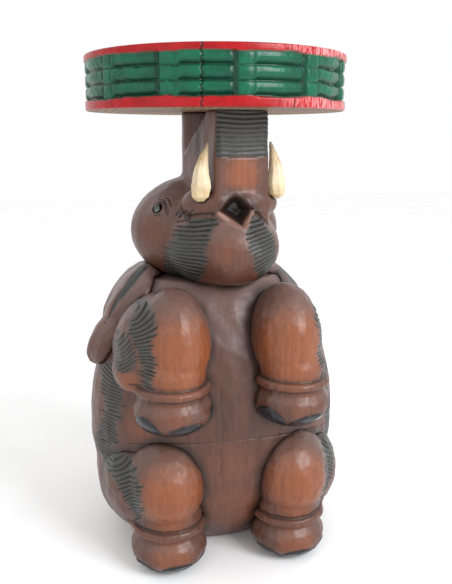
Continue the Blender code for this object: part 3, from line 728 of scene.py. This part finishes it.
class ELEPHANT_OT_head(Operator):
    """Carve and stain the head: ribbed trunk, open mouth, lip, hatched jaw and the creases round the eyes"""
    bl_idname = "elephant.head"
    bl_label = "Head"

    def execute(self, context):
        work = Carving(blank("head_carved", "head", sizes().head_fineness, HEAD_SMOOTHING))
        # painted shade beside the body, round the tusks and under the round top
        paint_contact_shade(work, ["upper_body"], 5, 0.9)
        paint_contact_shade(work, ["tusk_left", "tusk_right"], 2.6, 1.0)
        paint_contact_shade(work, ["round_top"], 5, 0.7)
        weather(work, 40)
        self.ribs(work)
        self.jaw(work)
        self.mouth(work)
        self.eyes(work)
        rub(work, HEAD_RUBS)
        local = head_frame(work.points)
        # painted shade in the hollow behind the trunk, under the round top
        cleft_painted_shade = (smoothstep(local[:, 1], -0.045, -0.02) * smoothstep(local[:, 1], 0.012, -0.005)
                 * smoothstep(local[:, 2], 0.395, 0.42))
        work.stain("painted_shade", 0.8 * cleft_painted_shade)
        deliver(work, stained_wood, "stained_wood", "head")
        return {"FINISHED"}

    def ribs(self, work):
        local = head_frame(work.points)
        normals = head_frame(work.normals)
        front = smoothstep(-normals[:, 1], 0.35, 0.75) * (local[:, 1] < -0.045)
        pitch = sizes().rib_pitch
        place = (local[:, 2] + 0.0009 * np.cos(local[:, 0] / 0.012)) / pitch
        rib = np.abs(place - np.floor(place) - 0.5) * 2
        zone = smoothstep(local[:, 2], 0.4065, 0.4085) * front
        work.cut(0.0011 * zone * smoothstep(rib, 0.45, 1.0) - 0.0004 * zone)
        work.stain("hatch", 0.93 * zone)
        work.stain("groove_ink_and_shade", zone * smoothstep(rib, 0.55, 0.95))
        score(work, from_head(TRUNK_LINE), 2.0, 0.5, 0.6)

    def jaw(self, work):
        pitch = sizes().jaw_pitch
        hatch(work, JAW_RIGHT, pitch, (-20, -6, 2, 6, 10), 51, ragged=5, solid=0.92)
        hatch(work, JAW_LEFT, pitch, (40, 24, 12, 4), 52, ragged=4, solid=0.9)
        hatch(work, WHISKERS, 3.2 * MM, (60, 60), 53, ragged=2, solid=0.0, depth=0.6 * MM)

    def mouth(self, work):
        facing = (work.points[:, 1] < -0.030) & (work.normals[:, 1] < 0.1)
        depth = depth_inside(MOUTH, work.points[:, 0], work.points[:, 2])
        hollow = smoothstep(depth, -0.0030, 0.0075) * facing
        work.points[:, 1] += sizes().mouth_depth * hollow
        # painted shade round and inside the mouth hollow
        shade = 0.7 * np.exp(-(depth / 0.010) ** 2) * (work.points[:, 2] > 0.352)
        work.stain("painted_shade", np.maximum(smoothstep(depth, -0.003, 0.002), shade) * facing)
        work.stain("groove_ink_and_shade", 0.8 * smoothstep(depth, 0.0005, 0.005) * facing)
        for crease in LIP_CREASES:
            score(work, crease, 4.5, 2.0, 0.8)
        _, nearest, _ = near_path(work.points, np.array(LIP) * MM)
        edge = smoothstep(nearest, 0.0065, 0.0025) * facing * (depth < 0.0002) * (work.points[:, 2] < 0.358)
        work.points[:, 1] -= 0.0020 * edge
        # the lip's edge loses its ink and painted shade, and gets rubbed wear and painted sheen
        for name, amount in (("hatch", 0.95), ("groove_ink_and_shade", 0.9), ("painted_shade", 0.9)):
            work.clear(name, amount * edge)
        for name in ("wear", "painted_sheen"):
            work.stain(name, 0.8 * edge)

    def eyes(self, work):
        for name, side in SIDES:
            low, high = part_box(f"eye_{name}")
            middle = np.array((low + high) / 2)
            distance = np.linalg.norm(work.points - middle, axis=1)
            outward = work.normals[(distance > 7 * MM) & (distance < 13 * MM)].mean(axis=0)
            forward = np.cross((0, 0, 1), outward) * side
            forward /= -np.linalg.norm(forward)
            upward = np.cross(outward, forward) * side
            upward *= np.sign(upward[2])
            lid = np.exp(-((distance - 0.0068) / 0.0014) ** 2)
            work.cut(0.0008 * smoothstep(distance, 0.0060, 0.0040) - 0.0006 * lid)
            work.stain("groove_ink_and_shade", 0.95 * np.exp(-((distance - 0.0052) / 0.0011) ** 2))
            for crease in EYE_CREASES:
                places = [middle / MM + forward * ahead + upward * over for ahead, over in crease]
                score(work, places, 2.2, 0.8, 0.95)


# ---------------------------------------------------------------- legs

def ankle_ring(work, middle, radius, ring):
    """Deepens the two hollows beside an ankle's ring and lays painted shade in them. The ring stands round a
    vertical axis at middle.
    """
    offset = work.points - np.array(middle) * MM
    out = np.hypot(offset[:, 0], offset[:, 1])
    near = smoothstep(out, (radius - 12) * MM, (radius - 7) * MM)
    near *= smoothstep(out, (radius + 9) * MM, (radius + 4) * MM)
    height = offset[:, 2] / MM + 0.5 * waves(work.points, 50 * MM, 5)
    hollows = np.exp(-((np.abs(height) - ring * 1.05) / 1.7) ** 2)
    band = np.exp(-(height / (ring * 0.75)) ** 2)
    work.cut((0.0019 * hollows - 0.0010 * band) * near)
    # painted shade in the hollows
    work.stain("painted_shade", 0.75 * hollows * near)
    work.stain("wear", 0.3 * band * near)


def nails(work, middle, bottom, arches):
    """Arched nails round the front of a foot. arches are (angle from the front, half width, height in mm)."""
    offset = work.points - np.array((*middle, 0)) * MM
    angle = np.degrees(np.arctan2(offset[:, 0], -offset[:, 1]))
    inside = np.full(len(angle), -1.0)
    for facing, half, height in arches:
        across = np.abs(angle - facing) / half
        arch = height * np.sqrt(np.clip(1 - across ** 2, 0, 1)) + bottom
        edge = np.minimum(arch * MM - work.points[:, 2], (1 - across) * half * 0.6 * MM)
        inside = np.maximum(inside, edge)
    front = np.hypot(offset[:, 0], offset[:, 1]) > 0.016
    nail = smoothstep(inside, -0.0003, 0.0007) * front
    outline = np.exp(-((inside + 0.0004) / 0.0009) ** 2) * front
    work.cut(0.0006 * outline - sizes().nail_relief * smoothstep(inside, 0.0003, 0.0018) * front)
    work.stain("nail", nail)
    work.clear("wear", nail)
    work.stain("groove_ink_and_shade", 0.5 * outline)


ANKLE_RING = 5.5
FORE_HATCH = [(-80, 279), (-73, 270), (-74, 257), (-79, 242), (-75, 228), (-79, 212), (-82, 201), (-89, 200),
              (-90, 212), (-92, 225), (-94, 236), (-99, 246), (-100, 257), (-91, 271)]
FORE_LEANS = (-14, -4, 4, 22, 44, 56)
ARM_BRUSH = [(-100, 250), (-95, 241), (-91, 228), (-94, 216), (-104, 211), (-114, 213), (-115, 232),
             (-108, 244)]


FORE_ANKLE, HIND_ANKLE = (59, -84, 196), (62.5, -69, 46)
FORE_RUBS = [((52, -113, 234), 60, 1.0), ((56, -110, 212), 34, 0.8), ((62, -115, 182), 30, 0.4),
             ((100, -84, 206), 20, 0.7)]
HIND_RUBS = [((62, -114, 92), 58, 1.0), ((64, -108, 72), 34, 0.8), ((64, -108, 26), 36, 0.6)]


def leg_begun(node, side, seed, painted_sheen, neighbours, ankle, radius):
    """A leg's blank with painted shade beside its neighbours, weathering and ankle ring. neighbours are (nodes,
    width in mm).
    """
    work = Carving(blank(f"{node}_carved", node, sizes().leg_fineness, LEG_SMOOTHING))
    # painted shade beside the leg's neighbours
    for nodes, width in neighbours:
        paint_contact_shade(work, nodes, width, 0.9)
    weather(work, seed + side, painted_sheen)
    ankle_ring(work, (side * ankle[0], *ankle[1:]), radius, ANKLE_RING)
    return work


class ELEPHANT_OT_forelegs(Operator):
    """Carve and stain the two forelegs, from the brushed upper arm to the nails"""
    bl_idname = "elephant.forelegs"
    bl_label = "Forelegs"

    def execute(self, context):
        for name, side in SIDES:
            node = f"foreleg_{name}"
            neighbours = ((["upper_body", "head"], 6), ([f"ear_{name}"], 4))
            work = leg_begun(node, side, 60, 0.45, neighbours, FORE_ANKLE, 37)
            hatch(work, ARM_BRUSH, 2.6 * MM, (30, 50, 60), 63, side=side, ragged=5, solid=0.7,
                  depth=0.4 * MM)
            hatch(work, FORE_HATCH, sizes().leg_pitch, FORE_LEANS, 61, side=side, ragged=4.5, solid=0.9)
            nails(work, (side * 59, -84), 151, ((-56, 33, 25), (16, 40, 19), (74, 24, 27)))
            rub(work, FORE_RUBS, side)
            deliver(work, stained_wood, "stained_wood", node)
        return {"FINISHED"}


class ELEPHANT_OT_hind_legs(Operator):
    """Carve and stain the two hind legs, from the hatched thigh to the nails"""
    bl_idname = "elephant.hind_legs"
    bl_label = "Hind Legs"

    def execute(self, context):
        for name, side in SIDES:
            node = f"hind_leg_{name}"
            work = leg_begun(node, side, 70, 0.4, ((["upper_body", "lower_body"], 6),), HIND_ANKLE, 36)
            hatch(work, HIND_HATCH, sizes().leg_pitch, HIND_LEANS, 71, side=side, ragged=4.5, solid=0.9)
            nails(work, (side * 62.5, -70), 1, ((-58, 32, 16), (8, 38, 16), (66, 26, 17)))
            rub(work, HIND_RUBS, side)
            deliver(work, stained_wood, "stained_wood", node)
        return {"FINISHED"}


# ---------------------------------------------------------------- ears

EAR_STRIPE = [(-76, 2, 293), (-86, -4, 284), (-96, -7, 272), (-107, -5, 258), (-117, -6, 240)]
EAR_STRIPE_WIDTH = 10
EAR_VALLEY = [(-66, -13, 285), (-84, -14, 268), (-102, -15, 246), (-117, -17, 223)]
EAR_RIM = [(-84, 20, 299), (-98, 26, 286), (-112, 30, 268), (-122, 26, 248)]


class ELEPHANT_OT_ears(Operator):
    """Carve and stain the two ears: long hollows, a tapering black stripe and a black edge"""
    bl_idname = "elephant.ears"
    bl_label = "Ears"

    def execute(self, context):
        for name, side in SIDES:
            node = f"ear_{name}"
            low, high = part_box(node)
            middle, half = np.array((low + high) / 2), np.array((high - low) / 2)
            work = Carving(blank(f"{node}_carved", node, sizes().ear_fineness, EAR_SMOOTHING))
            # painted shade where the ear meets the body, foreleg and head
            paint_contact_shade(work, ["upper_body", f"foreleg_{name}", "head"], 3.5, 1.0)
            weather(work, 80 + side)
            offset = (work.points - middle) / half
            down = -offset[:, 2]
            spread = 1.05 - 0.45 * down
            back = offset[:, 1] / spread
            outward = smoothstep(side * work.normals[:, 0] + 0.5 * work.normals[:, 2], 0.1, 0.5)
            hollows = np.cos(back * 2.6 * math.pi + 0.8 * down)
            work.cut(0.0013 * hollows * outward)
            along, nearest, length = near_path(work.points, on_surface(work, mirror_x(EAR_STRIPE, side)))
            taper = EAR_STRIPE_WIDTH * (1 - (along / length) ** 2)
            stripe = smoothstep(nearest, 1.0 * MM, 0) + 2 * smoothstep(nearest / MM, taper, 0)
            stripe = np.clip(stripe, 0, 1) * smoothstep(along, length, length * 0.9)
            work.cut(0.0010 * stripe)
            work.stain("hatch", 0.95 * stripe)
            work.stain("groove_ink_and_shade", 0.6 * stripe)
            score(work, mirror_x(EAR_VALLEY, side), 9, 1.8, 0.25)
            score(work, mirror_x(EAR_RIM, side), 3.0, 0.4, 0.8)
            # painted shade in the ear's hollows; the ridges get rubbed wear, which also stands for painted
            # highlight
            work.stain("painted_shade", 0.3 * smoothstep(hollows, 0.3, 1.0) * outward)
            work.stain("wear", 0.35 * smoothstep(hollows, -0.2, -0.95) * outward)
            deliver(work, stained_wood, "stained_wood", node)
        return {"FINISHED"}


# ---------------------------------------------------------------- tusks and eyes

class ELEPHANT_OT_tusks(Operator):
    """Round, streak and paint the two tusks"""
    bl_idname = "elephant.tusks"
    bl_label = "Tusks"

    def execute(self, context):
        for name, _ in SIDES:
            node = f"tusk_{name}"
            work = Carving(blank(f"{node}_painted", node, TUSK_FINENESS, TUSK_SMOOTHING))
            # painted shade round the tusk's root
            paint_contact_shade(work, ["head"], 1.0, 0.95)
            low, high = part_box(node)
            height = (work.points[:, 2] - low.z) / (high.z - low.z)
            work.cut(0.12 * MM * waves(work.points, 6 * MM, 90))
            # painted shade towards the tip
            work.stain("painted_shade", 0.55 * smoothstep(height, 0.72, 0.95))
            work.stain("wear", 0.45 * smoothstep(height, 0.1, 0.35) * smoothstep(height, 0.75, 0.5))
            deliver(work, tusk_paint, "cream_tusk", node)
        return {"FINISHED"}


class ELEPHANT_OT_eyes(Operator):
    """Set the two glass bead eyes"""
    bl_idname = "elephant.eyes"
    bl_label = "Eyes"

    def execute(self, context):
        for name, side in SIDES:
            node = f"eye_{name}"
            low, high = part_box(node)
            middle, radius = (low + high) / 2, (high - low).z / 2
            bm = bmesh.new()
            bmesh.ops.create_uvsphere(bm, u_segments=40, v_segments=26, radius=radius * 1.04)
            outward = Vector((side * 0.80, -0.48, 0.36)).normalized()
            turn = outward.to_track_quat("Z", "Y").to_matrix().to_4x4()
            squeeze = Matrix.Diagonal((0.88, 1.12, 1.0, 1.0))
            bmesh.ops.transform(bm, matrix=Matrix.Translation(middle) @ turn @ squeeze, verts=bm.verts)
            work = Carving(piece_from(bm, f"{node}_bead"))
            away = (work.points - np.array(middle)) / radius
            facing = away @ np.array(outward)
            work.stain("pupil", np.maximum(smoothstep(facing, 0.88, 0.93), smoothstep(facing, 0.62, 0.45)))
            deliver(work, bead_glass, "eye_bead", node)
        return {"FINISHED"}


# ---------------------------------------------------------------- round top

UPPER_RIM, LOWER_RIM = 5.8 * MM, 8.2 * MM
BAND_ROWS = 3
BAND_INSET = 0.9 * MM
CRACK_DEPTH = 2.2 * MM
ARRIS = 1.6 * MM


class ELEPHANT_OT_round_top(Operator):
    """Spin the round top, then carve its band, its rims and its drying cracks"""
    bl_idname = "elephant.round_top"
    bl_label = "Round Top"

    def execute(self, context):
        low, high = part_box("round_top")
        self.radius, self.bottom, self.top = (high.x - low.x) / 2, low.z, high.z
        work = Carving(piece_from(self.spun(), "round_top_carved"))
        self.carve(work)
        deliver(work, band_enamel, "painted_wood", "round_top")
        return {"FINISHED"}

    def spun(self):
        """A fine half section, spun: flat faces, rounded arrises and a plain side to carve."""
        rings = (0.3, 0.6, 0.85, 0.95)
        inner = self.radius - ARRIS
        arc = np.linspace(0, math.pi / 2, 4)
        section = [(0.0, self.top)] + [(self.radius * part, self.top) for part in rings]
        section += [(inner + ARRIS * math.sin(a), self.top - ARRIS + ARRIS * math.cos(a)) for a in arc]
        section += [(self.radius, z) for z in np.linspace(self.top - ARRIS, self.bottom + ARRIS, 50)[1:-1]]
        section += [(inner + ARRIS * math.cos(a), self.bottom + ARRIS - ARRIS * math.sin(a)) for a in arc]
        section += [(self.radius * part, self.bottom) for part in reversed(rings)] + [(0.0, self.bottom)]
        bm = bmesh.new()
        verts = [bm.verts.new((r, 0, z)) for r, z in section]
        for upper, lower in zip(verts, verts[1:]):
            bm.edges.new((upper, lower))
        bmesh.ops.spin(bm, geom=bm.verts[:] + bm.edges[:], axis=(0, 0, 1), cent=(0, 0, 0), angle=2 * math.pi,
                       steps=720, use_merge=True)
        bmesh.ops.remove_doubles(bm, verts=bm.verts, dist=1e-6)
        bmesh.ops.recalc_face_normals(bm, faces=bm.faces)
        return bm

    def carve(self, work):
        x, y, z = work.points.T
        out, angle = np.hypot(x, y), np.degrees(np.arctan2(x, -y))
        level = np.stack((x, y, z * 0), axis=1)
        wander, wobble = waves(level, 40 * MM, 3), waves(level, 11 * MM, 4)
        side = smoothstep(out, self.radius - 2.2 * MM, self.radius - 0.8 * MM)
        upper_edge = self.top - UPPER_RIM + (0.7 * wander + 0.35 * wobble) * MM
        lower_edge = self.bottom + LOWER_RIM - (0.9 * wander - 0.4 * wobble) * MM
        band = smoothstep(upper_edge - z, -0.2 * MM, 0.9 * MM)
        band *= smoothstep(z - lower_edge, -0.2 * MM, 0.9 * MM)
        row = np.clip((upper_edge - z) / (upper_edge - lower_edge) * BAND_ROWS, 0, BAND_ROWS - 0.001)
        depth, groove_ink_and_shade = self.bars(angle + 0.5 * wobble, row - np.floor(row))
        depth += 0.15 * MM * waves(work.points, 9 * MM, 6)
        rim_wear = 0.3 * MM * (1 - band) * (0.5 + 0.5 * wobble)
        crack = self.cracks(angle, z) * side
        shrink = side * (band * (BAND_INSET + np.maximum(depth, 0)) + rim_wear) + CRACK_DEPTH * crack
        work.points[:, :2] *= (1 - shrink / np.maximum(out, 1e-6))[:, None]
        work.stain("rim", (1 - band) * side)
        work.stain("groove_ink_and_shade", band * groove_ink_and_shade)
        work.stain("crack", crack)
        middle = (self.top + self.bottom) / 2
        work.stain("underside", (1 - side) * (z < middle))
        work.stain("table", (1 - side) * (z > middle))
        # pale pink scuffs on the right front only: rubbed paint, and painted light from the lamp on that side
        work.stain("wear", smoothstep(angle, 5, 32) * smoothstep(angle, 80, 50))

    def bars(self, angle, part):
        """How deep the bars are cut, and how much painted shade lies there. part is the way down a bar's row.
        """
        turn = 360 / sizes().band_panels
        cell = np.mod(angle + 4.7, turn)
        long_bar = smoothstep(cell, 7.2, 9.5)
        slope = smoothstep(part, 0.86 - 0.44 * long_bar, 0.97) * smoothstep(part, 1.0, 0.97)
        crown = 0.9 * MM * np.abs(2 * part - 1) ** 3
        upright = smoothstep(np.minimum(cell, turn - cell), 1.7, 0.4)
        step = np.exp(-((cell - 7.4) / 0.8) ** 2)
        dip = smoothstep(cell, turn * 0.55, turn - 1.5)
        depth = sizes().band_depth * (0.75 + 0.25 * long_bar) * slope + crown
        depth = np.maximum(depth + 0.5 * MM * long_bar + 1.6 * MM * dip, sizes().band_depth * 1.1 * upright)
        depth += 0.8 * MM * step * (1 - slope)
        return depth, np.maximum.reduce([smoothstep(slope, 0.1, 0.7), upright, 0.35 * step, 0.45 * dip])

    def cracks(self, angle, z):
        """A wandering split from rim to rim, and a short one in the lower rim."""
        split = -17 + 0.35 * np.sin(z / MM * 0.9) + 0.2 * np.sin(z / MM * 2.3)
        long_crack = np.clip(1 - np.abs(angle - split) / 0.55, 0, 1)
        low_crack = np.clip(1 - np.abs(angle - 20) / 0.5, 0, 1)
        low_crack *= smoothstep(z, self.bottom + 8 * MM, self.bottom + 5 * MM)
        return np.maximum(long_crack, low_crack)


# ---------------------------------------------------------------- dowels

class ELEPHANT_OT_dowels(Operator):
    """Finish the hidden dowels and ear pegs, which stay as they are in the frame"""
    bl_idname = "elephant.dowels"
    bl_label = "Dowels"

    def execute(self, context):
        for name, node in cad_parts.items():
            if "dowel" in name or "peg" in name:
                for place in node.material_slots:
                    place.material = finish_of(beech)
        return {"FINISHED"}


# ---------------------------------------------------------------- stage

CAMERA_TURN, CAMERA_TILT = math.radians(-12), math.radians(13.29)
CAMERA_DISTANCE, CAMERA_HEIGHT = 0.68834, 0.4276
SENSOR_WIDTH, LENS, LENS_SHIFT = 36, 41.116, 0.01866
LAMPS = (
    ("window", (0.85, -1.15, 1.0), 0.7, 19, (0.95, 0.97, 1.0)),
    ("fill", (-1.3, -1.0, 0.75), 1.3, 3, (1.0, 0.98, 0.95)),
)


class ELEPHANT_OT_stage(Operator):
    """Lay the floor, and place the soft studio lights and the camera"""
    bl_idname = "elephant.stage"
    bl_label = "Stage"

    def execute(self, context):
        low, high = CAD_BOX
        bm = bmesh.new()
        half = sizes().studio_width / 2
        bmesh.ops.create_grid(bm, x_segments=8, y_segments=8, size=half)
        bmesh.ops.translate(bm, vec=(0, 0, low.z), verts=bm.verts)
        floor = piece_from(bm, "studio_floor")
        floor.data.materials.append(finish_of(floor_paint))

        world = bpy.data.worlds.new("studio")
        context.scene.world = world
        world.use_nodes = True
        sky = world.node_tree.nodes["Background"].inputs
        sky["Color"].default_value = (1, 1, 1, 1)
        sky["Strength"].default_value = 1.0
        middle = Vector((0, 0, (low.z + high.z) / 2))
        for name, place, width, power, tint in LAMPS:
            light = bpy.data.lights.new(name, "AREA")
            light.size, light.energy, light.color = width, power, tint
            lamp = bpy.data.objects.new(name, light)
            lamp.location = place
            lamp.rotation_mode = "QUATERNION"
            lamp.rotation_quaternion = (middle - lamp.location).to_track_quat("-Z", "Y")
            context.scene.collection.objects.link(lamp)

        lens = bpy.data.cameras.new("camera")
        lens.sensor_width, lens.lens, lens.shift_x = SENSOR_WIDTH, LENS, LENS_SHIFT
        camera = bpy.data.objects.new("camera", lens)
        forward = Vector((-math.sin(CAMERA_TURN), math.cos(CAMERA_TURN), 0))
        camera.location = Vector((0, 0, CAMERA_HEIGHT)) - forward * CAMERA_DISTANCE
        look = forward * math.cos(CAMERA_TILT) - Vector((0, 0, math.sin(CAMERA_TILT)))
        camera.rotation_mode = "QUATERNION"
        camera.rotation_quaternion = look.to_track_quat("-Z", "Y")
        context.scene.collection.objects.link(camera)
        context.scene.camera = camera
        context.scene.view_settings.view_transform = "Standard"
        return {"FINISHED"}


# ---------------------------------------------------------------- panel and registration

OPERATORS = (ELEPHANT_OT_body_blocks, ELEPHANT_OT_head, ELEPHANT_OT_forelegs, ELEPHANT_OT_hind_legs,
             ELEPHANT_OT_ears, ELEPHANT_OT_tusks, ELEPHANT_OT_eyes, ELEPHANT_OT_round_top, ELEPHANT_OT_dowels,
             ELEPHANT_OT_stage)


class ELEPHANT_PT_bench(Panel):
    """The pieces of the elephant stand, in the order they are made"""
    bl_idname = "ELEPHANT_PT_bench"
    bl_label = "Elephant Stand"
    bl_space_type = "VIEW_3D"
    bl_region_type = "UI"
    bl_category = "Elephant"

    def draw(self, context):
        for operator in OPERATORS:
            self.layout.operator(operator.bl_idname)
        for heading, group in (("Sizes", sizes()), ("Colours", colours())):
            box = self.layout.box()
            box.label(text=heading)
            for name in group.__annotations__:
                box.prop(group, name)


CLASSES = (ElephantSizes, ElephantColours, *OPERATORS, ELEPHANT_PT_bench)


def register():
    for made in CLASSES:
        bpy.utils.register_class(made)
    bpy.types.Scene.elephant_sizes = PointerProperty(type=ElephantSizes)
    bpy.types.Scene.elephant_colours = PointerProperty(type=ElephantColours)


def unregister():
    del bpy.types.Scene.elephant_sizes
    del bpy.types.Scene.elephant_colours
    for made in reversed(CLASSES):
        bpy.utils.unregister_class(made)


def main():
    register()
    for operator in OPERATORS:
        getattr(bpy.ops.elephant, operator.bl_idname.split(".")[1])()


if __name__ == "__main__":
    main()
